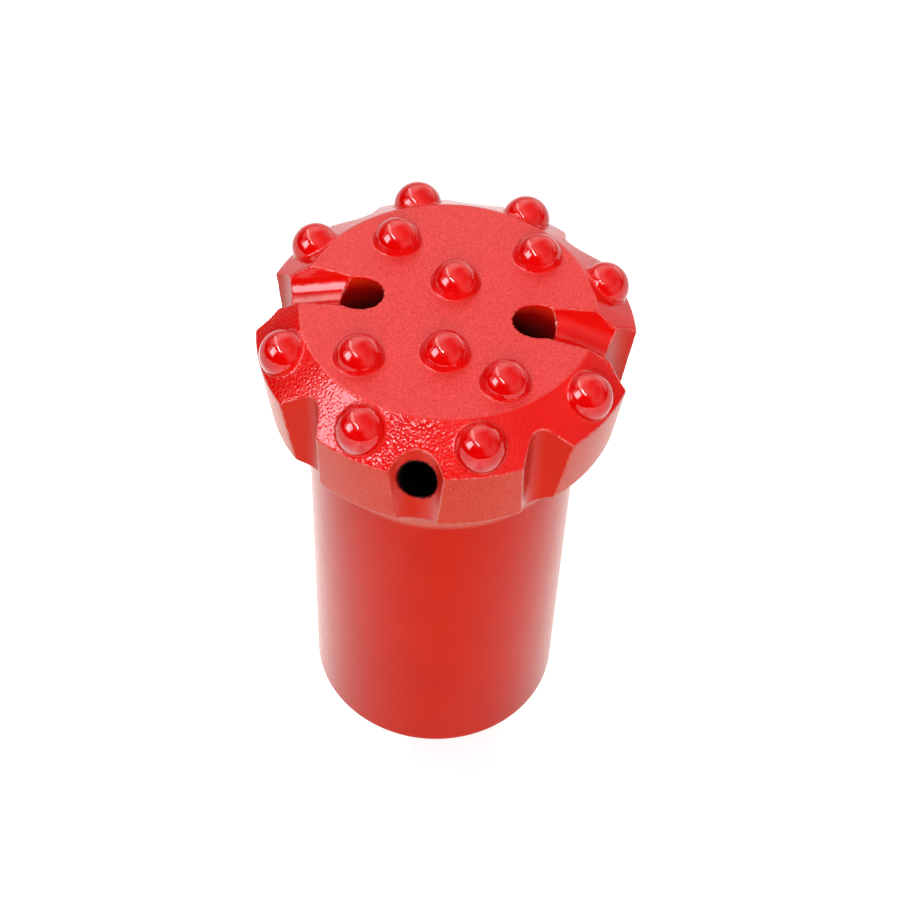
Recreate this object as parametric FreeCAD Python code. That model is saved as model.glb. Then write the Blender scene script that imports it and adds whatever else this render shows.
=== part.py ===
"""Threaded button drill bit for top-hammer rock drilling.

One forged and machined steel body with fourteen pressed-in carbide buttons.
Millimetres and degrees. The bit stands on its open skirt: Z runs up the bit's
axis towards the cutting face. X and Y are the mirror lines of the gauge buttons.
"""
import FreeCAD
import Part
import math
import os

Vector = FreeCAD.Vector
ORIGIN = Vector(0, 0, 0)
UP = Vector(0, 0, 1)

# ---- turned body ---------------------------------------------------------
body_length = 157.5         # open end of the skirt to the cutting face
gauge_diameter = 102.0      # widest circle of the head
face_diameter = 78.4        # flat cutting face inside the bevel
bevel_angle = 38.0          # slope of the gauge bevel, down from the face
land_height = 22.1          # gauge rim down to the bottom of the side lands
land_taper = 7.0            # clearance angle of the side lands
underside_angle = 36.5      # slope of the head's underside, down towards the skirt
skirt_diameter = 75.8
neck_radius = 17.0          # concave turn from the underside into the skirt
skirt_edge_chamfer = 1.2

# ---- threaded socket and flushing chamber --------------------------------
bore_diameter = 51.6        # at the root of the rope thread
bore_depth = 102.0          # to the seat for the end of the drill rod
bore_mouth_chamfer = 2.0
chamber_diameter = 28.0     # flushing chamber above the rod's seat
chamber_height = 21.0       # straight part of the chamber
drill_point_angle = 118.0   # of the chamber's conical end

# ---- flushing holes ------------------------------------------------------
face_hole_diameter = 11.8
face_hole_radius = 24.2     # from the bit's axis, where it meets the face
face_hole_tilt = 27.0       # from the bit's axis
side_hole_diameter = 10.1
side_hole_height = 140.7    # where it meets the floor of its side slot
side_hole_tilt = 45.0       # from the bit's axis
face_pattern_turn = -1.7    # azimuth of the first face hole, against the gauge pattern
side_hole_azimuth = 90.3

# ---- cuts made with round-nosed cutters ----------------------------------
# Depths are in from the gauge circle. Wall angles are outwards from the cut's
# own middle plane, and each wall is tangent to the nose.
groove_start_radius = 17.6  # where the face groove's lowest line leaves the face
groove_slope = 18.3         # of that line, down towards the rim
groove_nose_radius = 6.3
groove_wall_angle = 21.0
outlet_depth = 8.0          # flute that carries on from each face groove
outlet_nose_radius = 11.7
outlet_wall_angle = 18.0
slot_depth = 5.5            # slot round each side hole
slot_nose_radius = 7.2
slot_wall_angle = 35.5
flute_depth = 6.2           # plain flute between gauge buttons
flute_nose_radius = 4.5
flute_wall_angle = 45.0
flute_azimuth = 50.0        # mirrored into the other three quarters

# ---- carbide buttons -----------------------------------------------------
button_diameter = 13.2
button_dome_height = 6.0
button_seat_depth = 11.0    # shank below the surface that it stands in
button_foot_chamfer = 1.0
gauge_button_inset = 6.0    # seat's centre on the bevel, in from the gauge circle
gauge_button_azimuths = (27.0, 70.0)    # mirrored into the other three quarters
outer_button_azimuth = 50.0 # from the face holes, mirrored likewise
outer_button_radii = (31.2, 28.2, 29.4, 30.2)   # each cuts a track of its own
inner_button_azimuths = (88.0, 278.8)   # from the first face hole
inner_button_radii = (9.1, 16.8)

tool_overrun = 6.0          # how far a cutting tool runs past the metal


def tan(angle):
    return math.tan(math.radians(angle))


def polar(radius, azimuth, height=0.0):
    turn = math.radians(azimuth)
    return Vector(radius * math.cos(turn), radius * math.sin(turn), height)


def leaning(azimuth, tilt):
    """Unit vector that leans outwards from the bit's axis by tilt."""
    lean = math.radians(tilt)
    return polar(math.sin(lean), azimuth, math.cos(lean))


def quarters(azimuth):
    """The azimuth and its mirror images in the other three quarters."""
    return [azimuth, 180.0 - azimuth, 180.0 + azimuth, 360.0 - azimuth]


# ---- sizes that follow from the driving dimensions -----------------------
gauge_radius = gauge_diameter / 2
skirt_radius = skirt_diameter / 2
bevel_drop = (gauge_radius - face_diameter / 2) * tan(bevel_angle)
rim_height = body_length - bevel_drop
land_foot_height = rim_height - land_height
land_foot_radius = gauge_radius - land_height * tan(land_taper)


def bevel_height(radius):
    return body_length - (radius - face_diameter / 2) * tan(bevel_angle)


def revolved(edges):
    """Solid of revolution round Z from a closed half section in the XZ plane."""
    return Part.Face(Part.Wire(edges)).revolve(ORIGIN, UP, 360)


def line(start, end):
    return Part.LineSegment(start, end).toShape()


def polyline(points):
    return [line(a, b) for a, b in zip(points, points[1:])]


def neck_arc():
    """Arc that is tangent to the skirt and to the head's underside."""
    corner_height = land_foot_height - (land_foot_radius - skirt_radius) * tan(underside_angle)
    tangent = neck_radius * tan((90.0 - underside_angle) / 2)
    slope = math.radians(underside_angle)
    centre = Vector(skirt_radius + neck_radius, 0, corner_height - tangent)
    low = Vector(skirt_radius, 0, centre.z)
    high = Vector(skirt_radius + tangent * math.cos(slope), 0,
                  corner_height + tangent * math.sin(slope))
    half_turn = math.radians((90.0 - underside_angle) / 2)
    middle = centre + Vector(-math.cos(half_turn), 0, math.sin(half_turn)) * neck_radius
    return low, high, Part.Arc(low, middle, high).toShape()


def turned_blank():
    """The body as it leaves the lathe, before drilling and milling."""
    low, high, neck = neck_arc()
    below = polyline([ORIGIN,
                      Vector(skirt_radius - skirt_edge_chamfer, 0, 0),
                      Vector(skirt_radius, 0, skirt_edge_chamfer),
                      low])
    above = polyline([high,
                      Vector(land_foot_radius, 0, land_foot_height),
                      Vector(gauge_radius, 0, rim_height),
                      Vector(face_diameter / 2, 0, body_length),
                      Vector(0, 0, body_length),
                      ORIGIN])
    return revolved(below + [neck] + above)


def socket_tool():
    """Mouth, threaded bore, rod seat and flushing chamber."""
    bore = bore_diameter / 2
    chamber = chamber_diameter / 2
    chamber_top = bore_depth + chamber_height
    mouth = bore + bore_mouth_chamfer
    start = Vector(0, 0, -tool_overrun)
    return revolved(polyline([start,
                              Vector(mouth, 0, -tool_overrun),
                              Vector(mouth, 0, 0),
                              Vector(bore, 0, bore_mouth_chamfer),
                              Vector(bore, 0, bore_depth),
                              Vector(chamber, 0, bore_depth),
                              Vector(chamber, 0, chamber_top),
                              Vector(0, 0, chamber_top + chamber / tan(drill_point_angle / 2)),
                              start]))


def drilled(mouth, azimuth, tilt, diameter):
    """Drill that enters at the mouth and runs inwards to the bit's axis."""
    direction = leaning(azimuth, tilt)
    reach = math.hypot(mouth.x, mouth.y) / math.sin(math.radians(tilt))
    start = mouth - direction * reach
    return Part.makeCylinder(diameter / 2, reach + diameter + tool_overrun, start, direction)


def face_hole_tool(azimuth):
    mouth = polar(face_hole_radius, azimuth, body_length)
    return drilled(mouth, azimuth, face_hole_tilt, face_hole_diameter)


def side_hole_tool(azimuth):
    mouth = polar(gauge_radius - slot_depth, azimuth, side_hole_height)
    return drilled(mouth, azimuth, side_hole_tilt, side_hole_diameter)


def round_nosed(depth, nose_radius, wall_angle):
    """Section of a round-nosed cut: its height along X and its width along Y."""
    lean = math.radians(wall_angle)
    low = nose_radius * (1 - math.sin(lean))
    narrow = nose_radius * math.cos(lean)
    high = depth + tool_overrun
    wide = narrow + (high - low) * tan(wall_angle)
    left, right = Vector(low, -narrow, 0), Vector(low, narrow, 0)
    nose = Part.Arc(left, ORIGIN, right).toShape()
    walls = polyline([right, Vector(high, wide, 0), Vector(high, -wide, 0), left])
    return Part.Face(Part.Wire([nose] + walls))


def flute_tool(azimuth, depth, nose_radius, wall_angle):
    """Upright cut down the whole height of the head."""
    flute = round_nosed(depth, nose_radius, wall_angle).extrude(UP * (body_length + tool_overrun))
    flute.translate(Vector(gauge_radius - depth, 0, 0))
    flute.rotate(ORIGIN, UP, azimuth)
    return flute


def groove_tool(azimuth):
    """Sloping groove across the face, from a flushing hole out to the rim."""
    depth = (gauge_radius - groove_start_radius) * math.sin(math.radians(groove_slope))
    groove = round_nosed(depth, groove_nose_radius, groove_wall_angle).extrude(UP * -gauge_radius)
    groove.rotate(ORIGIN, Vector(0, 1, 0), groove_slope - 90.0)
    groove.translate(Vector(groove_start_radius, 0, body_length))
    groove.rotate(ORIGIN, UP, azimuth)
    return groove


def gauge_button_seats():
    """Surface point and direction of each gauge button, counted round the rim."""
    azimuths = sorted(turn for base in gauge_button_azimuths for turn in quarters(base))
    radius = gauge_radius - gauge_button_inset
    return [(polar(radius, turn, bevel_height(radius)), leaning(turn, bevel_angle))
            for turn in azimuths]


def face_button_seats():
    outer = zip(sorted(quarters(outer_button_azimuth)), outer_button_radii)
    places = list(outer) + list(zip(inner_button_azimuths, inner_button_radii))
    return [(polar(radius, turn + face_pattern_turn, body_length), UP)
            for turn, radius in places]


def button(seat, direction):
    """Carbide button: chamfered foot, round shank and domed top."""
    radius = button_diameter / 2
    top = Vector(0, 0, button_dome_height)
    shoulder = Vector(radius, 0, 0)
    ball_radius = (radius ** 2 + button_dome_height ** 2) / (2 * button_dome_height)
    ball_centre = top - UP * ball_radius
    half_way = (top + shoulder) / 2 - ball_centre
    dome = Part.Arc(shoulder, ball_centre + half_way * (ball_radius / half_way.Length), top)
    section = polyline([top,
                        Vector(0, 0, -button_seat_depth),
                        Vector(radius - button_foot_chamfer, 0, -button_seat_depth),
                        Vector(radius, 0, button_foot_chamfer - button_seat_depth),
                        shoulder])
    shape = revolved(section + [dome.toShape()])
    shape.Placement = FreeCAD.Placement(seat, FreeCAD.Rotation(UP, direction))
    return shape


def button_socket_tool(seat, direction):
    start = seat - direction * button_seat_depth
    return Part.makeCylinder(button_diameter / 2, button_seat_depth + tool_overrun,
                             start, direction)


def bit_body():
    """The steel body, drilled, milled and bored for its buttons."""
    tools = [socket_tool()]
    for azimuth in (face_pattern_turn, face_pattern_turn + 180.0):
        tools.append(face_hole_tool(azimuth))
        tools.append(groove_tool(azimuth))
        tools.append(flute_tool(azimuth, outlet_depth, outlet_nose_radius, outlet_wall_angle))
    for azimuth in (side_hole_azimuth, side_hole_azimuth + 180.0):
        tools.append(side_hole_tool(azimuth))
        tools.append(flute_tool(azimuth, slot_depth, slot_nose_radius, slot_wall_angle))
    for azimuth in quarters(flute_azimuth):
        tools.append(flute_tool(azimuth, flute_depth, flute_nose_radius, flute_wall_angle))
    for seat, direction in gauge_button_seats() + face_button_seats():
        tools.append(button_socket_tool(seat, direction))
    return turned_blank().cut(tools)


def parts():
    """Every separate piece of the bit, by name."""
    pieces = {"bit_body": bit_body()}
    for number, (seat, direction) in enumerate(gauge_button_seats(), 1):
        pieces["gauge_button_%d" % number] = button(seat, direction)
    for number, (seat, direction) in enumerate(face_button_seats(), 1):
        pieces["face_button_%d" % number] = button(seat, direction)
    return pieces


def main():
    os.makedirs("parts", exist_ok=True)
    for name, shape in parts().items():
        shape.exportStep("parts/%s.step" % name)
        print("%-16s solids %d valid %s volume %.1f" %
              (name, len(shape.Solids), shape.isValid(), shape.Volume))


main()
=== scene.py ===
import math

import bpy
import numpy as np
from mathutils import Matrix, Vector


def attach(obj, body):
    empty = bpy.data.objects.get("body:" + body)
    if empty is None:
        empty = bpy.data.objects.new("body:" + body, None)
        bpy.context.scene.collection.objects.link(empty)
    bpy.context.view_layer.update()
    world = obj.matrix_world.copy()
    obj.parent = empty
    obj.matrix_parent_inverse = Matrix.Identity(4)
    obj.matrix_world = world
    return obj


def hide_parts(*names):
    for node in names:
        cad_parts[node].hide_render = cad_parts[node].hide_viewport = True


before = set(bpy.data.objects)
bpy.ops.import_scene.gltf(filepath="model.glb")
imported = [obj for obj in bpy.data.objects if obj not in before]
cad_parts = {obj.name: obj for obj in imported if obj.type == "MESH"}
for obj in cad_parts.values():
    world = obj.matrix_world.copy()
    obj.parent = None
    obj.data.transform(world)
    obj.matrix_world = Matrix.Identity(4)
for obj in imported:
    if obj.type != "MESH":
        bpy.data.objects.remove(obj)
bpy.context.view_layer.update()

MM = 0.001


def sin(angle):
    return math.sin(math.radians(angle))


def cos(angle):
    return math.cos(math.radians(angle))


def tan(angle):
    return math.tan(math.radians(angle))


# ---- the bit's own sizes, in millimetres and degrees, as in the CAD source ----
BODY_LENGTH = 157.5
GAUGE_RADIUS = 51.0
FACE_RADIUS = 39.2
BEVEL_ANGLE = 38.0
LAND_HEIGHT = 22.1
LAND_TAPER = 7.0
UNDERSIDE_ANGLE = 36.5
SKIRT_RADIUS = 37.9
NECK_RADIUS = 17.0
SKIRT_CHAMFER = 1.2
BORE_RADIUS = 25.8
BORE_DEPTH = 102.0
MOUTH_CHAMFER = 2.0
CHAMBER_RADIUS = 14.0
CHAMBER_HEIGHT = 21.0
DRILL_POINT_ANGLE = 118.0
FACE_HOLE_RADIUS = 5.9
FACE_HOLE_PLACE = 24.2
FACE_HOLE_TILT = 27.0
SIDE_HOLE_RADIUS = 5.05
SIDE_HOLE_HEIGHT = 140.7
SIDE_HOLE_TILT = 45.0
FACE_TURN = -1.7
SIDE_AZIMUTH = 90.3
GROOVE_START = 17.6
GROOVE_SLOPE = 18.3
GROOVE = dict(nose=6.3, wall=21.0)
OUTLET = dict(depth=8.0, nose=11.7, wall=18.0)
SLOT = dict(depth=5.5, nose=7.2, wall=35.5)
FLUTE = dict(depth=6.2, nose=4.5, wall=45.0)
FLUTE_AZIMUTH = 50.0
BUTTON_RADIUS = 6.6
DOME_HEIGHT = 6.0
GAUGE_BUTTON_PLACE = 45.0
GAUGE_BUTTON_AZIMUTHS = (27.0, 70.0)
OUTER_BUTTONS = ((50.0, 31.2), (130.0, 28.2), (230.0, 29.4), (310.0, 30.2))
INNER_BUTTONS = ((88.0, 9.1), (278.8, 16.8))

# ---- paint film, edges and thread, in millimetres ----
EDGE = 0.4                  # rounding of the machined edges under the paint
PAINT_FILLET = 0.6          # paint drawn up round the foot of each button
PAINT_END = (7, 13)         # depth in the cuts over which the paint gives out
SHADE_START = (14, 20)       # depth over which painted shade blackens the bare steel
HOLE_SHADE = (0.5, 4)       # the same two in the face's flushing holes, as painted shade: the red darkens, then turns black
HOLE_DEEP_SHADE = (4, 13)
SIDE_HOLES_SHADED_SOONER = 3.0        # the side holes take the painted shade this many times sooner
FAR = 9.0                   # a gap that no edge or band of paint reaches over
GRID = 0.63                 # mesh size of the head
SPLIT_HEIGHT = 106.0        # the head's mesh ends here and the skirt's begins
THREAD_PITCH = 12.7
THREAD_DEPTH = 2.4
THREAD_FADE = (3, 10)       # distance from the thread's ends over which it grows to full depth
THREAD_STEP = 1.1           # height of one row of the thread's mesh
WALL_ROWS = 12              # rows of the skirt's plain outer wall

RIM_HEIGHT = BODY_LENGTH - (GAUGE_RADIUS - FACE_RADIUS) * tan(BEVEL_ANGLE)
LAND_FOOT_HEIGHT = RIM_HEIGHT - LAND_HEIGHT
LAND_FOOT_RADIUS = GAUGE_RADIUS - LAND_HEIGHT * tan(LAND_TAPER)


# ---- distance fields: negative inside, in millimetres ----
def both(a, b, radius):
    """Common part of two solids, with its edge rounded."""
    corner = np.hypot(np.maximum(a + radius, 0), np.maximum(b + radius, 0))
    return np.minimum(-radius, np.maximum(a, b)) + corner


def either(a, b, radius):
    """Union of two solids, with a fillet where they meet."""
    return -both(-a, -b, radius)


def turned_surfaces(r, z):
    """Distances from the face, the bevel, the land and the underside of the head."""
    face = z - BODY_LENGTH
    bevel = (r - FACE_RADIUS) * sin(BEVEL_ANGLE) + (z - BODY_LENGTH) * cos(BEVEL_ANGLE)
    land = (r - GAUGE_RADIUS + (RIM_HEIGHT - z) * tan(LAND_TAPER)) * cos(LAND_TAPER)
    under = (LAND_FOOT_HEIGHT - (LAND_FOOT_RADIUS - r) * tan(UNDERSIDE_ANGLE) - z)
    return face, bevel, land, under * cos(UNDERSIDE_ANGLE)


def blank_field(r, z):
    """The turned blank: head, neck and skirt."""
    face, bevel, land, under = turned_surfaces(r, z)
    head = both(both(both(face, bevel, EDGE), land, EDGE), under, EDGE)
    skirt = np.maximum(r - SKIRT_RADIUS, z - LAND_FOOT_HEIGHT)
    corner = LAND_FOOT_HEIGHT - (LAND_FOOT_RADIUS - SKIRT_RADIUS) * tan(UNDERSIDE_ANGLE)
    tangent = NECK_RADIUS * tan((90 - UNDERSIDE_ANGLE) / 2)
    across = r - SKIRT_RADIUS - NECK_RADIUS
    above = z - corner + tangent
    along = across * cos(UNDERSIDE_ANGLE) + above * sin(UNDERSIDE_ANGLE)
    in_neck = (above >= 0) & (along <= 0) & (z < LAND_FOOT_HEIGHT)
    return np.where(in_neck, NECK_RADIUS - np.hypot(across, above), np.minimum(head, skirt))


def turned(x, y, azimuth):
    """Coordinates towards an azimuth and square to it."""
    return x * cos(azimuth) + y * sin(azimuth), y * cos(azimuth) - x * sin(azimuth)


def nosed_field(height, side, nose, wall):
    """Round-nosed cut: height is from its lowest line, side from its middle plane."""
    up, across = height - nose, np.abs(side)
    walls = across * cos(wall) - up * sin(wall) - nose
    on_wall = up * cos(wall) + across * sin(wall) > 0
    return np.where(on_wall, walls, np.hypot(up, across) - nose)


def flute_field(x, y, azimuth, depth, nose, wall):
    """Upright cut in the rim of the head."""
    out, side = turned(x, y, azimuth)
    return nosed_field(out - GAUGE_RADIUS + depth, side, nose, wall)


def groove_field(x, y, z, azimuth):
    """Cut that slopes down from the face to the rim."""
    out, side = turned(x, y, azimuth)
    height = (z - BODY_LENGTH) * cos(GROOVE_SLOPE) + (out - GROOVE_START) * sin(GROOVE_SLOPE)
    return nosed_field(height, side, **GROOVE)


def hole_field(x, y, z, azimuth, place, height, tilt, radius):
    """Drilled hole that leans outwards and ends on the bit's axis."""
    out, side = turned(x, y, azimuth)
    out, up = out - place, z - height
    along = out * sin(tilt) + up * cos(tilt)
    across = np.hypot(out * cos(tilt) - up * sin(tilt), side)
    return np.maximum(across - radius, -along - place / sin(tilt))


def chamber_field(r, z):
    """Drilled chamber over the rod's seat, where the flushing holes meet."""
    half = DRILL_POINT_ANGLE / 2
    point = (z - BORE_DEPTH - CHAMBER_HEIGHT - (CHAMBER_RADIUS - r) / tan(half)) * sin(half)
    return both(r - CHAMBER_RADIUS, point, EDGE)


def quarters(azimuth):
    """An azimuth and its mirror images in the other three quarters."""
    return [azimuth, 180 - azimuth, 180 + azimuth, 360 - azimuth]


def button_places():
    """Foot centre and direction of every button."""
    places = []
    height = BODY_LENGTH - (GAUGE_BUTTON_PLACE - FACE_RADIUS) * tan(BEVEL_ANGLE)
    for base in GAUGE_BUTTON_AZIMUTHS:
        for azimuth in quarters(base):
            lean = (sin(BEVEL_ANGLE) * cos(azimuth), sin(BEVEL_ANGLE) * sin(azimuth),
                    cos(BEVEL_ANGLE))
            places.append(((GAUGE_BUTTON_PLACE * cos(azimuth),
                            GAUGE_BUTTON_PLACE * sin(azimuth), height), lean))
    for azimuth, radius in OUTER_BUTTONS + INNER_BUTTONS:
        azimuth += FACE_TURN
        places.append(((radius * cos(azimuth), radius * sin(azimuth), BODY_LENGTH), (0, 0, 1)))
    return places


def dome_balls():
    """Centre of each dome's ball, and the radius that they share."""
    radius = (BUTTON_RADIUS ** 2 + DOME_HEIGHT ** 2) / (2 * DOME_HEIGHT)
    sink = radius - DOME_HEIGHT
    return [np.array(p) - np.array(d) * sink for p, d in button_places()], radius


def holes(x, y, z):
    """Field of each flushing hole."""
    for azimuth in (SIDE_AZIMUTH, SIDE_AZIMUTH + 180):
        yield hole_field(x, y, z, azimuth, GAUGE_RADIUS - SLOT["depth"], SIDE_HOLE_HEIGHT,
                         SIDE_HOLE_TILT, SIDE_HOLE_RADIUS)
    for azimuth in (FACE_TURN, FACE_TURN + 180):
        yield hole_field(x, y, z, azimuth, FACE_HOLE_PLACE, BODY_LENGTH, FACE_HOLE_TILT,
                         FACE_HOLE_RADIUS)


def cuts(x, y, z):
    """Field of each milled cut and each drilled hole."""
    for azimuth in quarters(FLUTE_AZIMUTH):
        yield flute_field(x, y, azimuth, **FLUTE)
    for turn in (0, 180):
        yield flute_field(x, y, SIDE_AZIMUTH + turn, **SLOT)
        yield flute_field(x, y, FACE_TURN + turn, **OUTLET)
        yield groove_field(x, y, z, FACE_TURN + turn)
    yield from holes(x, y, z)


def steel_field(x, y, z):
    """The body with its milling and drilling, and no buttons."""
    r = np.hypot(x, y)
    field = blank_field(r, z)
    for cut in cuts(x, y, z):
        field = both(field, -cut, EDGE)
    return both(field, -chamber_field(r, z), EDGE)


def head_field(x, y, z):
    """The painted head: the steel with paint drawn up round each button."""
    field = steel_field(x, y, z)
    balls, radius = dome_balls()
    for centre in balls:
        near = np.sqrt((x - centre[0]) ** 2 + (y - centre[1]) ** 2 + (z - centre[2]) ** 2)
        field = either(field, near - radius, PAINT_FILLET)
    return field


# ---- a mesh from a distance field ----
def gradient(field, points, step=0.02):
    """Slope of a field at each point."""
    columns = []
    for axis in range(3):
        ahead, behind = points.copy(), points.copy()
        ahead[:, axis] += step
        behind[:, axis] -= step
        columns.append((field(*ahead.T) - field(*behind.T)) / (2 * step))
    return np.stack(columns, axis=1)


def settle(field, points, rounds=4):
    """Moves points on to the surface of a distance field."""
    for _ in range(rounds):
        slope = gradient(field, points)
        steep = np.maximum((slope ** 2).sum(axis=1), 0.05)
        points = points - slope * (field(*points.T) / steep)[:, None]
    return points


def sampled(field, axes):
    x, y = np.meshgrid(axes[0], axes[1], indexing="ij")
    return np.stack([field(x, y, np.full_like(x, level)) for level in axes[2]], axis=2)


def cell_points(values):
    """A point in each grid cell that the surface crosses, each cell's number, and its level."""
    inside = values < 0
    cells = [n - 1 for n in values.shape]
    total, count = np.zeros(cells + [3]), np.zeros(cells)
    corner = {d: tuple(slice(s, s + n) for s, n in zip(d, cells))
              for d in np.ndindex(2, 2, 2)}
    for start in corner:
        for axis in range(3):
            if start[axis]:
                continue
            end = tuple(1 if i == axis else s for i, s in enumerate(start))
            a, b = values[corner[start]], values[corner[end]]
            cross = inside[corner[start]] != inside[corner[end]]
            share = np.where(cross, a / np.where(cross, a - b, 1), 0)
            for i in range(3):
                total[..., i] += np.where(cross, share if i == axis else start[i], 0)
            count += cross
    used = count > 0
    number = np.full(cells, -1)
    number[used] = np.arange(used.sum())
    base = np.stack(np.nonzero(used), axis=1)
    return base + total[used] / count[used][:, None], number, base[:, 2]


def cell_faces(inside, number):
    """A four-sided face across each grid line that the surface crosses."""
    faces = []
    for axis in range(3):
        u, v = (axis + 1) % 3, (axis + 2) % 3
        span = [slice(1, n) for n in number.shape]
        span[axis] = slice(0, number.shape[axis])
        ahead = list(span)
        ahead[axis] = slice(1, inside.shape[axis])
        first, second = inside[tuple(span)], inside[tuple(ahead)]
        for mask, order in ((first & ~second, 1), (~first & second, -1)):
            spot = np.stack(np.nonzero(mask), axis=1)
            spot += np.array([s.start for s in span])
            ring = []
            for du, dv in ((1, 1), (0, 1), (0, 0), (1, 0)):
                cell = spot.copy()
                cell[:, u] -= du
                cell[:, v] -= dv
                ring.append(number[tuple(cell.T)])
            faces.append(np.stack(ring[::order], axis=1))
    return np.concatenate(faces)


def surface_mesh(field, low, high, size):
    """Points, four-sided faces and grid levels where the field is zero, a point to a cell."""
    axes = [np.arange(a, b + size, size) for a, b in zip(low, high)]
    values = sampled(field, axes)
    points, number, level = cell_points(values)
    return points * size + np.array([a[0] for a in axes]), cell_faces(values < 0, number), level


def new_piece(name, points, faces, normals, marks):
    """A mesh piece from arrays in millimetres. marks are its named values at each point."""
    mesh = bpy.data.meshes.new(name)
    mesh.vertices.add(len(points))
    mesh.vertices.foreach_set("co", (points * MM).astype(np.float32).ravel())
    mesh.loops.add(faces.size)
    mesh.loops.foreach_set("vertex_index", faces.astype(np.int32).ravel())
    mesh.polygons.add(len(faces))
    mesh.polygons.foreach_set("loop_start", np.arange(0, faces.size, 4, dtype=np.int32))
    mesh.polygons.foreach_set("loop_total", np.full(len(faces), 4, dtype=np.int32))
    mesh.update(calc_edges=True)
    mesh.validate()
    mesh.polygons.foreach_set("use_smooth", np.ones(len(faces), dtype=bool))
    mesh.normals_split_custom_set_from_vertices(normals.tolist())
    for mark, values in marks.items():
        layer = mesh.attributes.new(mark, "FLOAT", "POINT")
        layer.data.foreach_set("value", values.astype(np.float32))
    piece = bpy.data.objects.new(name, mesh)
    bpy.context.scene.collection.objects.link(piece)
    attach(piece, "root")
    return piece


def dropped(points, faces, keep_face):
    """Only the faces that are kept, and the points that they use."""
    faces = faces[keep_face]
    used = np.unique(faces)
    number = np.full(len(points), -1)
    number[used] = np.arange(len(used))
    return points[used], number[faces]


def smooth_step(value, low, high):
    """0 up to low and 1 from high on."""
    t = np.clip((value - low) / (high - low), 0, 1)
    return t * t * (3 - 2 * t)


def paint_and_light_marks(points):
    """Distances, in millimetres, that the paint and its painted highlights, sheen and shade are
    laid by at each point.
    """
    x, y, z = points.T
    r = np.hypot(x, y)
    face, bevel, land, under = [np.abs(surface) for surface in turned_surfaces(r, z)]
    sides = [np.minimum(face, bevel), land, under, *cuts(x, y, z)]
    edge = np.sort(np.abs(sides), axis=0)[1]
    edge[z < LAND_FOOT_HEIGHT - 2 * EDGE] = FAR
    land[z < LAND_FOOT_HEIGHT - EDGE] = FAR
    side, front = [np.min([np.abs(hole) for hole in pair], axis=0)
                   for pair in np.split(np.array([*holes(x, y, z)]), 2)]
    depth = -blank_field(r, z)
    # depth weight in the holes, for their roughness and their painted shade; the side holes take
    # it sooner
    in_hole = depth * (np.where(side < EDGE, SIDE_HOLES_SHADED_SOONER, 0) + np.where(front < EDGE, 1, 0))
    return dict(face_gap=face, bevel_gap=bevel, land_gap=land, edge_gap=edge, depth=depth,
                in_hole=in_hole)


def coats(points, faces, normals):
    """0 for a face that faces upwards, 1 for an upright turned one, 2 for an upright cut one."""
    x, y, z = points.T
    groove = np.minimum(groove_field(x, y, z, FACE_TURN), groove_field(x, y, z, FACE_TURN + 180))
    wall = (normals[:, 2] < 0.3) & (np.abs(groove) > EDGE) & (z < BODY_LENGTH - EDGE)
    cut = np.min([np.abs(field) for field in cuts(x, y, z)], axis=0)
    milled = (cut < 0.6 * EDGE) & (blank_field(np.hypot(x, y), z) < -0.4 * EDGE)
    upright, milled = [share[faces].mean(axis=1) > 0.5 for share in (wall, milled)]
    return np.where(upright, np.where(milled, 2, 1), 0).astype(np.int32)


def build_head():
    """Painted skin of the head, and the ring of points that its lower rim ends in."""
    reach = GAUGE_RADIUS + 2 * GRID
    points, faces, level = surface_mesh(
        head_field, (-reach, -reach, SPLIT_HEIGHT),
        (reach, reach, BODY_LENGTH + DOME_HEIGHT + GRID), GRID)
    points = settle(head_field, points)
    lowest = level == 0
    points[lowest, 2] = SPLIT_HEIGHT + GRID / 2
    outer = lowest & (np.hypot(points[:, 0], points[:, 1]) > BORE_RADIUS)
    scale = SKIRT_RADIUS / np.hypot(points[outer, 0], points[outer, 1])
    points[outer, :2] *= scale[:, None]
    ring = points[outer]
    ring = ring[np.argsort(np.arctan2(ring[:, 1], ring[:, 0]))]
    above_steel = steel_field(*points.T)
    keep = ~(above_steel[faces] > 0.8 * PAINT_FILLET).all(axis=1)
    points, faces = dropped(points, faces, keep)
    normals = gradient(head_field, points, 0.05)
    normals /= np.linalg.norm(normals, axis=1)[:, None]
    marks = paint_and_light_marks(points)
    piece = new_piece("bit_head", points, faces, normals, marks)
    piece.data.polygons.foreach_set("material_index", coats(points, faces, normals))
    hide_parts("bit_body")
    return piece, ring


def thread_radius(azimuth, z):
    """Left-hand rope thread, fading out at the mouth and before the seat."""
    turn = z / THREAD_PITCH - azimuth / (2 * math.pi)
    crest = (0.5 + 0.5 * np.cos(2 * math.pi * turn)) ** 0.85
    fade = smooth_step(z, *THREAD_FADE) * smooth_step(BORE_DEPTH - z, *THREAD_FADE)
    return BORE_RADIUS - THREAD_DEPTH * crest * fade


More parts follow.
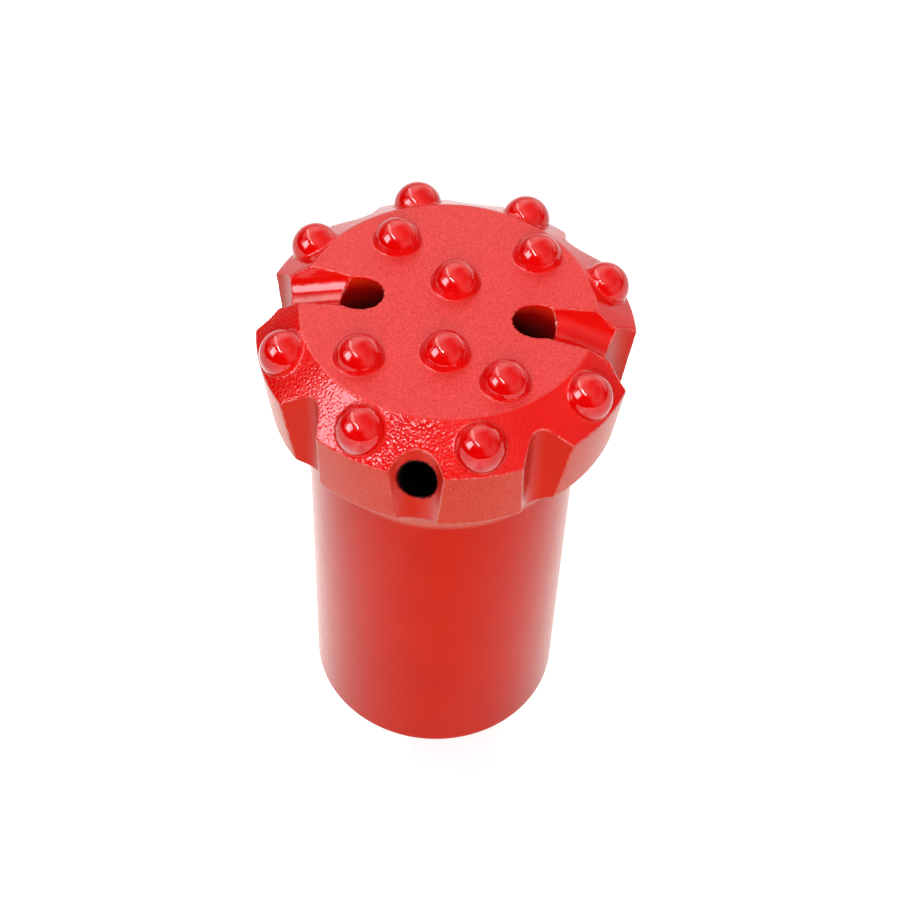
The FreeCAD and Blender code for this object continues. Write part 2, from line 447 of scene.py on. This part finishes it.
def skirt_levels(azimuth):
    """Radius at each azimuth, and height, of each row from the outer wall to the chamber."""
    top, mouth = SPLIT_HEIGHT + GRID / 2, BORE_RADIUS + MOUTH_CHAMFER
    rows = [(SKIRT_RADIUS, z) for z in np.linspace(top, SKIRT_CHAMFER + 1, WALL_ROWS)]
    rows += arc_rows((SKIRT_RADIUS, SKIRT_CHAMFER), (SKIRT_RADIUS - SKIRT_CHAMFER, 0))
    rows += [(r, 0.0) for r in np.linspace(SKIRT_RADIUS - SKIRT_CHAMFER - 1, mouth + 0.6, 4)]
    rows += arc_rows((mouth, 0), (BORE_RADIUS, MOUTH_CHAMFER))
    inner = [(r, BORE_DEPTH)
             for r in (BORE_RADIUS, BORE_RADIUS - 0.3, CHAMBER_RADIUS + 0.3, CHAMBER_RADIUS)]
    inner += [(CHAMBER_RADIUS, z) for z in (BORE_DEPTH + 0.3, (BORE_DEPTH + top) / 2, top)]
    thread = [(thread_radius(azimuth, z), z)
              for z in np.arange(MOUTH_CHAMFER + 1, BORE_DEPTH - 0.5, THREAD_STEP)]
    return rows + thread + inner


def build_skirt(ring):
    """Skirt wall, end ring, threaded bore, rod seat and the foot of the chamber."""
    azimuth = np.arctan2(ring[:, 1], ring[:, 0])
    levels = skirt_levels(azimuth)
    columns, count = len(azimuth), len(levels)
    points = np.concatenate([np.stack([r * np.cos(azimuth), r * np.sin(azimuth),
                                       np.full(columns, float(z))], axis=1) for r, z in levels])
    index = np.arange(columns)
    after = (index + 1) % columns
    faces = np.concatenate([np.stack([k * columns + index, (k + 1) * columns + index,
                                      (k + 1) * columns + after, k * columns + after], axis=1)
                            for k in range(count - 1)])
    grid = points.reshape(count, columns, 3)
    along = np.gradient(grid, axis=0)
    around = np.roll(grid, -1, axis=1) - np.roll(grid, 1, axis=1)
    normals = np.cross(along, around)
    normals[:WALL_ROWS] = grid[:WALL_ROWS] * (1, 1, 0)
    normals = normals.reshape(-1, 3)
    normals /= np.linalg.norm(normals, axis=1)[:, None]
    marks = paint_and_light_marks(points)
    piece = new_piece("bit_skirt", points, faces, normals, marks)
    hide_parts("bit_body")
    return piece


def arc_rows(start, end, steps=5):
    """Rows that round a chamfer off between two of its corners."""
    (r0, z0), (r1, z1) = start, end
    bulge = 0.12 * math.hypot(r1 - r0, z1 - z0)
    out = Vector((z1 - z0, r0 - r1)).normalized() * bulge
    rows = []
    for t in np.linspace(0, 1, steps):
        swell = 4 * t * (1 - t)
        rows.append((r0 + (r1 - r0) * t - out.x * swell,
                     max(z0 + (z1 - z0) * t - out.y * swell, 0)))
    return rows


# ---- materials ----
class Nodes:
    """Short names for building a node tree."""

    def __init__(self, tree):
        self.tree = tree
        tree.nodes.clear()

    def add(self, kind, inputs=None, **settings):
        node = self.tree.nodes.new(kind)
        for key, value in settings.items():
            setattr(node, key, value)
        for key, value in (inputs or {}).items():
            self.put(node.inputs[key], value)
        return node

    def put(self, socket, value):
        if isinstance(value, bpy.types.NodeSocket):
            self.tree.links.new(value, socket)
        else:
            socket.default_value = value

    def math(self, operation, a, b=0.0):
        return self.add("ShaderNodeMath", {0: a, 1: b}, operation=operation).outputs[0]

    def ramp(self, value, low, high, out_low=0.0, out_high=1.0):
        return self.add("ShaderNodeMapRange", {"Value": value, "From Min": low, "From Max": high,
                                               "To Min": out_low, "To Max": out_high},
                        clamp=True).outputs[0]

    def mix(self, factor, a, b):
        node = self.add("ShaderNodeMix", data_type="RGBA")
        self.put(node.inputs["Factor"], factor)
        self.put(node.inputs[6], a)
        self.put(node.inputs[7], b)
        return node.outputs[2]

    def noise(self, scale, detail=2.0, rough=0.5, vector=None):
        inputs = {"Scale": scale, "Detail": detail, "Roughness": rough}
        if vector is not None:
            inputs["Vector"] = vector
        return self.add("ShaderNodeTexNoise", inputs).outputs["Fac"]

    def attribute(self, name):
        return self.add("ShaderNodeAttribute", attribute_name=name).outputs["Fac"]

    def sum(self, start, *terms):
        """Start, plus each value times its share."""
        total = start
        for value, share in terms:
            total = self.math("ADD", total, self.math("MULTIPLY", value, share))
        return total

    def along(self, place, *direction):
        """How far a place lies along a direction."""
        return self.add("ShaderNodeVectorMath", {0: place, 1: direction},
                        operation="DOT_PRODUCT").outputs["Value"]

    def surface(self, colour, rough, lift, distance, ior, tint=(1, 1, 1, 1), sheen=0.0):
        bump = self.add("ShaderNodeBump", {"Height": lift, "Strength": 1.0, "Distance": distance})
        shader = self.add("ShaderNodeBsdfPrincipled", {
            "Base Color": colour, "Roughness": rough, "Normal": bump.outputs[0], "IOR": ior,
            "Specular Tint": tint, "Sheen Weight": sheen, "Sheen Roughness": 0.3,
            "Sheen Tint": SHEEN_TINT})
        self.add("ShaderNodeOutputMaterial", {"Surface": shader.outputs[0]})


def material(name):
    made = bpy.data.materials.new(name)
    made.use_nodes = True
    return made, Nodes(made.node_tree)


HEAD_RED = (0.72, 0.005, 0.003, 1)      # thick gloss
HEAD_DEEP = (0.64, 0.003, 0.002, 1)
FACE_PINK_REFLECTION = (0.79, 0.044, 0.042, 1)      # dry spray, dull, tinted pink as a painted reflection of the ceiling light
FACE_SPECK = (0.58, 0.005, 0.004, 1)
SIDE_RED = (0.64, 0.018, 0.003, 1)      # thin coat that lets the brown primer through
SIDE_DEEP = (0.58, 0.012, 0.002, 1)
LAND_PAINTED_SHEEN = (0.70, 0.090, 0.050, 1)      # the same coat over a turned band, speckled paler as a painted sheen
EDGE_HIGHLIGHT = (0.78, 0.34, 0.28, 1)       # painted highlight along the edges
NECK_REFLECTION = (0.74, 0.20, 0.15, 1)       # painted reflection of the floor under the head
HOLE_SHADED_RED = (0.22, 0.001, 0.001, 1)      # painted shade: the red, darkened inside the holes
DARK_STEEL = (0.035, 0.030, 0.028, 1)
# painted shade: black deep inside and in the holes
SHADE_BLACK = (0.006, 0.005, 0.005, 1)
CARBIDE_RED = (0.70, 0.002, 0.002, 1)   # gloss over the buttons
CARBIDE_DEEP = (0.62, 0.001, 0.001, 1)
RED_GLINT = (1, 0.15, 0.06, 1)          # what satin paint mirrors when it is seen face on
SHEEN_TINT = (1, 0.90, 0.80, 1)

# Sizes of the paint's textures, as features to a metre.
GRAIN_SCALE = 3400                      # speckle of the spray
PEEL_SCALE = 1250                       # orange peel of the thick gloss
RAGGED_SCALE = 400                      # breaks in the painted highlight lines along the edges
NECK_BAND = ((0.1100, 0.1120), (0.125, 0.114))  # heights, in metres, that the painted reflection fades over


def edge_light_steel_and_shade(n, red, place):
    """Red coat with painted highlights along the edges, that gives way to bare steel inside, and
    to painted shade deep inside and in the holes.
    """
    depth, in_hole = n.attribute("depth"), n.attribute("in_hole")
    # Painted highlights along the edges, broken into pieces by noise.
    ragged = n.ramp(n.noise(RAGGED_SCALE, 2, 0.6, place), 0.35, 0.65, 0.0, 0.75)
    edge = n.math("MULTIPLY", n.ramp(n.attribute("edge_gap"), 0.10, 0.36, 1, 0), ragged)
    colour = n.mix(edge, red, EDGE_HIGHLIGHT)
    colour = n.mix(n.ramp(depth, *PAINT_END), colour, DARK_STEEL)
    # Painted shade: deep inside, the bare steel turns black.
    colour = n.mix(n.ramp(depth, *SHADE_START), colour, SHADE_BLACK)
    # Painted shade in the holes: the red darkens, then turns black.
    colour = n.mix(n.ramp(in_hole, *HOLE_SHADE), colour, HOLE_SHADED_RED)
    return n.mix(n.ramp(in_hole, *HOLE_DEEP_SHADE), colour, SHADE_BLACK)


def head_paint():
    """Thick gloss of the bevel and the grooves, and the dull dry coat of the face, tinted pink as
    a painted reflection of the ceiling light.

    The gloss lies thickest, with most orange peel, on the side that it was sprayed from.
    """
    made, n = material("red_gloss_on_steel")
    place = n.add("ShaderNodeTexCoord").outputs["Object"]
    on_face = n.ramp(n.attribute("face_gap"), 0.05, 0.20, 1, 0)
    on_bevel = n.ramp(n.attribute("bevel_gap"), 0.05, 0.50, 1, 0)
    grain = n.noise(GRAIN_SCALE, 2, 0.7, place)
    wave = n.noise(260, 1, 0.5, place)
    cells = {"Vector": place, "Scale": PEEL_SCALE, "Smoothness": 0.6}
    peel = n.add("ShaderNodeTexVoronoi", cells, feature="SMOOTH_F1").outputs["Distance"]
    red = n.mix(n.ramp(n.noise(70, 3, 0.55, place), 0.35, 0.75), HEAD_RED, HEAD_DEEP)
    # the face's speckled grain, and its pink tint as a painted reflection of the ceiling light
    face_grain_and_reflection = n.mix(n.ramp(grain, 0.42, 0.58), FACE_SPECK, FACE_PINK_REFLECTION)
    colour = edge_light_steel_and_shade(n, n.mix(on_face, red, face_grain_and_reflection), place)
    thick = n.ramp(n.along(place, *seen(-0.5, -1, 0)), 0.005, 0.045, 0.2, 1)
    peel = n.math("MULTIPLY", n.math("MULTIPLY", peel, thick), on_bevel)
    rough = n.sum(0.05, (on_face, 0.32))
    lift = n.sum(0, (n.math("MULTIPLY", grain, on_face), 0.7), (peel, 1.1), (grain, 0.10),
                 (wave, 0.8))
    n.surface(colour, rough, lift, distance=0.00012, ior=1.42)
    return made


def side_paint(name, ior, sheen):
    """Thin satin coat of upright walls and the skirt, and bare steel in the bore."""
    made, n = material(name)
    place = n.add("ShaderNodeTexCoord").outputs["Object"]
    height = n.add("ShaderNodeSeparateXYZ", {0: place}).outputs["Z"]
    on_land = n.ramp(n.attribute("land_gap"), 0.05, 0.30, 1, 0)
    grain = n.noise(GRAIN_SCALE, 2, 0.7, place)
    wave = n.noise(120, 2, 0.5, place)
    red = n.mix(n.ramp(n.noise(45, 3, 0.6, place), 0.35, 0.75), SIDE_RED, SIDE_DEEP)
    speck = n.ramp(grain, 0.42, 0.58)
    red = n.mix(n.math("MULTIPLY", speck, 0.35), red, SIDE_DEEP)
    # Painted sheen: the turned land is speckled paler.
    red = n.mix(n.math("MULTIPLY", on_land, speck), red, LAND_PAINTED_SHEEN)
    # Painted reflection of the floor: a pale band under the head.
    foot, head = [n.ramp(height, *band) for band in NECK_BAND]
    under_head_reflection = n.math("MULTIPLY", n.math("MULTIPLY", foot, head), 0.6)
    red = n.mix(under_head_reflection, red, NECK_REFLECTION)
    colour = edge_light_steel_and_shade(n, red, place)
    rough = n.sum(0.24, (on_land, 0.10), (n.ramp(n.attribute("depth"), *PAINT_END), 0.25),
                  (n.ramp(n.attribute("in_hole"), 0, 3), 0.4))
    lift = n.sum(0, (grain, 0.9), (wave, 0.8))
    n.surface(colour, rough, lift, distance=0.00006, ior=ior, tint=RED_GLINT, sheen=sheen)
    return made


def button_paint():
    """Smooth gloss over the carbide, with the faintest waves."""
    made, n = material("red_gloss_on_carbide")
    place = n.add("ShaderNodeTexCoord").outputs["Object"]
    cloud = n.noise(180, 2, 0.5, place)
    colour = n.mix(n.ramp(cloud, 0.3, 0.7), CARBIDE_RED, CARBIDE_DEEP)
    rough = n.ramp(cloud, 0.3, 0.7, 0.01, 0.03)
    n.surface(colour, rough, n.noise(400, 1, 0.5, place), distance=0.00007, ior=1.50)
    return made


# ---- stage, light and camera ----
VIEW_TURN = 7.2             # the camera stands this far round from the bit's -Y
CAMERA_PLACE = (0.00226, -0.34165, 0.51148)
CAMERA_PITCH = 50.41
CAMERA_ROLL = 2.64
LENS = 74.54
BIT_TOP = (0, 0, 0.157)     # the lamps are placed round this point

PAPER_PALE = (0.44, 0.44, 0.44, 1)
PAPER_DEEP = (0.40, 0.40, 0.40, 1)
PAPER_GLOW = 0.62           # what the paper needs besides its own light to show as white

# Soft lights on the walls and ceiling of the studio: azimuth from straight behind the bit
# towards the right, elevation, radius, width of the soft edge, all in degrees, and level.
# The last one shades the others.
SOFT_LIGHTS = ((-14, 40, 18, 30, 2.3), (-18, -16, 33, 60, 0.75), (34, 27, 26, 35, 1.85),
               (0, 90, 33, 35, 1.6), (77, 37, 12, 60, 1.94), (125, 32, 30, 27, 0.8),
               (-53, 46, 14, 25, 2.0), (61, 56, 40, 39, -1.15))


def seen(x, y, z):
    """A point or direction given as the camera stands, in the bit's own frame."""
    return Matrix.Rotation(math.radians(VIEW_TURN), 3, "Z") @ Vector((x, y, z))


def add_camera():
    """Camera at the place, pitch and roll above, turned with the bit."""
    forward = Vector((0, cos(CAMERA_PITCH), -sin(CAMERA_PITCH)))
    right = Vector((1, 0, 0))
    up = right.cross(forward)
    x_axis = right * cos(CAMERA_ROLL) + up * sin(CAMERA_ROLL)
    y_axis = up * cos(CAMERA_ROLL) - right * sin(CAMERA_ROLL)
    axes = Matrix((seen(*x_axis), seen(*y_axis), seen(*-forward))).transposed()
    data = bpy.data.cameras.new("camera")
    data.lens = LENS
    data.sensor_width = 36
    data.clip_start, data.clip_end = 0.01, 100
    camera = bpy.data.objects.new("camera", data)
    camera.matrix_world = Matrix.Translation(seen(*CAMERA_PLACE)) @ axes.to_4x4()
    bpy.context.scene.collection.objects.link(camera)
    bpy.context.scene.camera = camera


def add_lamp(name, place, size, level, colour=(1, 1, 1), target=(0, 0, 0.12), roll=0.0,
             lights=True, shows=True):
    """Area lamp whose own face has a level of brightness, where 1 is white.

    lights: it throws light. shows: gloss mirrors it.
    """
    data = bpy.data.lights.new(name, "AREA")
    data.shape = "RECTANGLE"
    data.size, data.size_y = size
    data.energy = level * math.pi * size[0] * size[1]
    data.color = colour
    lamp = bpy.data.objects.new(name, data)
    lamp.visible_diffuse, lamp.visible_glossy = lights, shows
    place, target = seen(*place), seen(*target)
    aim = (target - place).to_track_quat("-Z", "Y").to_matrix().to_4x4()
    lamp.matrix_world = (Matrix.Translation(place) @ aim
                         @ Matrix.Rotation(math.radians(roll), 4, "Z"))
    bpy.context.scene.collection.objects.link(lamp)


def towards(azimuth, elevation):
    """Direction in the camera's frame: azimuth from straight behind the bit to the right."""
    return Vector((sin(azimuth) * cos(elevation), cos(azimuth) * cos(elevation),
                   sin(elevation)))


def add_strip(name, start, end, width, level, colour=(1, 1, 1), height=1.3):
    """Long ceiling lamp that gloss mirrors. Its ends are given for a ceiling 1 m up."""
    start, end = Vector((*start, 1)) * height, Vector((*end, 1)) * height
    middle, run = (start + end) / 2 + Vector(BIT_TOP), end - start
    below = (middle.x, middle.y, 0)
    roll = math.degrees(math.atan2(run.y, run.x)) + VIEW_TURN
    add_lamp(name, middle, (run.length, width * height), level, colour, below, roll,
             lights=False)


def add_lamps():
    """Lamps that only gloss mirrors, and one broad lamp that lights the bit."""
    core = Vector(BIT_TOP) + 1.2 * towards(247, 36)
    glow = Vector(BIT_TOP) + 1.4 * towards(252, 30)
    wall = Vector(BIT_TOP) + 1.4 * towards(48, 12)
    add_lamp("window", core, (0.52, 0.56), 12, (0.98, 0.90, 1), BIT_TOP, lights=False)
    add_lamp("window_glow", glow, (1.15, 0.62), 1.5, (1, 0.86, 0.86), BIT_TOP, lights=False)
    add_lamp("wall_strip", wall, (1.2, 0.09), 2.5, (1, 0.94, 0.88), BIT_TOP, lights=False)
    add_strip("tube", (-0.18, -0.70), (-0.56, -0.13), 0.045, 50)
    add_strip("light_band", (-0.60, -0.05), (-1.06, 1.60), 0.25, 4.0, (1, 0.95, 0.90))
    add_lamp("soft_key", (-0.1, -2.15, 1.8), (2, 2), 5.5, shows=False)


def add_world():
    """The studio round the bit: its soft lights, and dark between them."""
    world = bpy.data.worlds.new("studio")
    world.use_nodes = True
    bpy.context.scene.world = world
    n = Nodes(world.node_tree)
    look = n.add("ShaderNodeTexCoord").outputs["Generated"]
    level = 0.0
    for azimuth, elevation, radius, edge, strength in SOFT_LIGHTS:
        off = n.math("ARCCOSINE", n.along(look, *seen(*towards(azimuth, elevation))))
        share = n.add("ShaderNodeMapRange", {
            "Value": off, "From Min": math.radians(radius - edge / 2),
            "From Max": math.radians(radius + edge / 2), "To Min": strength, "To Max": 0.0},
            interpolation_type="SMOOTHSTEP").outputs[0]
        level = n.math("ADD", level, share)
    n.add("ShaderNodeOutputWorld", {"Surface": n.add("ShaderNodeBackground", {
        "Color": (1, 0.97, 0.93, 1), "Strength": n.math("MAXIMUM", level, 0.0)}).outputs[0]})


def add_floor():
    """Pale paper that shows as white, with painted pools of light at both sides of the bit."""
    bpy.ops.mesh.primitive_circle_add(vertices=96, radius=20, fill_type="NGON")
    floor = bpy.context.object
    floor.name = "floor"
    made, n = material("pale_floor")
    path = n.add("ShaderNodeLightPath").outputs
    shown = n.math("MAXIMUM", path["Is Camera Ray"], path["Is Glossy Ray"])
    shown = n.math("MAXIMUM", shown, path["Is Transmission Ray"])
    place = n.add("ShaderNodeTexCoord").outputs["Object"]
    tone = n.mix(n.noise(4, 2, 0.5, place), PAPER_DEEP, PAPER_PALE)
    paper = n.add("ShaderNodeBsdfDiffuse", {"Color": tone}).outputs[0]
    left = n.along(place, *seen(-1, 0, 0))
    near = n.ramp(n.along(place, *seen(0, 1, 0)), 0.13, 0.21, 1, 0)
    # Painted pools of light on the paper at both sides of the bit, which gloss mirrors.
    painted_pools = n.sum(0, (n.ramp(left, 0.005, 0.055), 1.1), (n.ramp(left, 0.10, 0.25), -0.8),
                   (n.ramp(left, -0.02, -0.055), 0.6), (n.ramp(left, -0.10, -0.25), -0.4))
    lit = n.math("ADD", n.math("MULTIPLY", painted_pools, near), PAPER_GLOW)
    glow = n.add("ShaderNodeEmission", {"Strength": n.math("MULTIPLY", shown, lit)}).outputs[0]
    both_parts = n.add("ShaderNodeAddShader", {0: paper, 1: glow}).outputs[0]
    n.add("ShaderNodeOutputMaterial", {"Surface": both_parts})
    floor.data.materials.append(made)


# ---- build ----
head, rim = build_head()
skirt = build_skirt(rim)
satin = side_paint("red_satin_on_steel", 1.17, 0.45)
carbide = button_paint()
for paint in (head_paint(), satin, side_paint("red_thin_in_cuts", 1.24, 0.0)):
    head.data.materials.append(paint)
skirt.data.materials.append(satin)
for name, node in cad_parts.items():
    node.data.materials.clear()
    node.data.materials.append(satin if name == "bit_body" else carbide)

add_floor()
add_world()
add_lamps()
add_camera()
bpy.context.scene.view_settings.view_transform = "Standard"
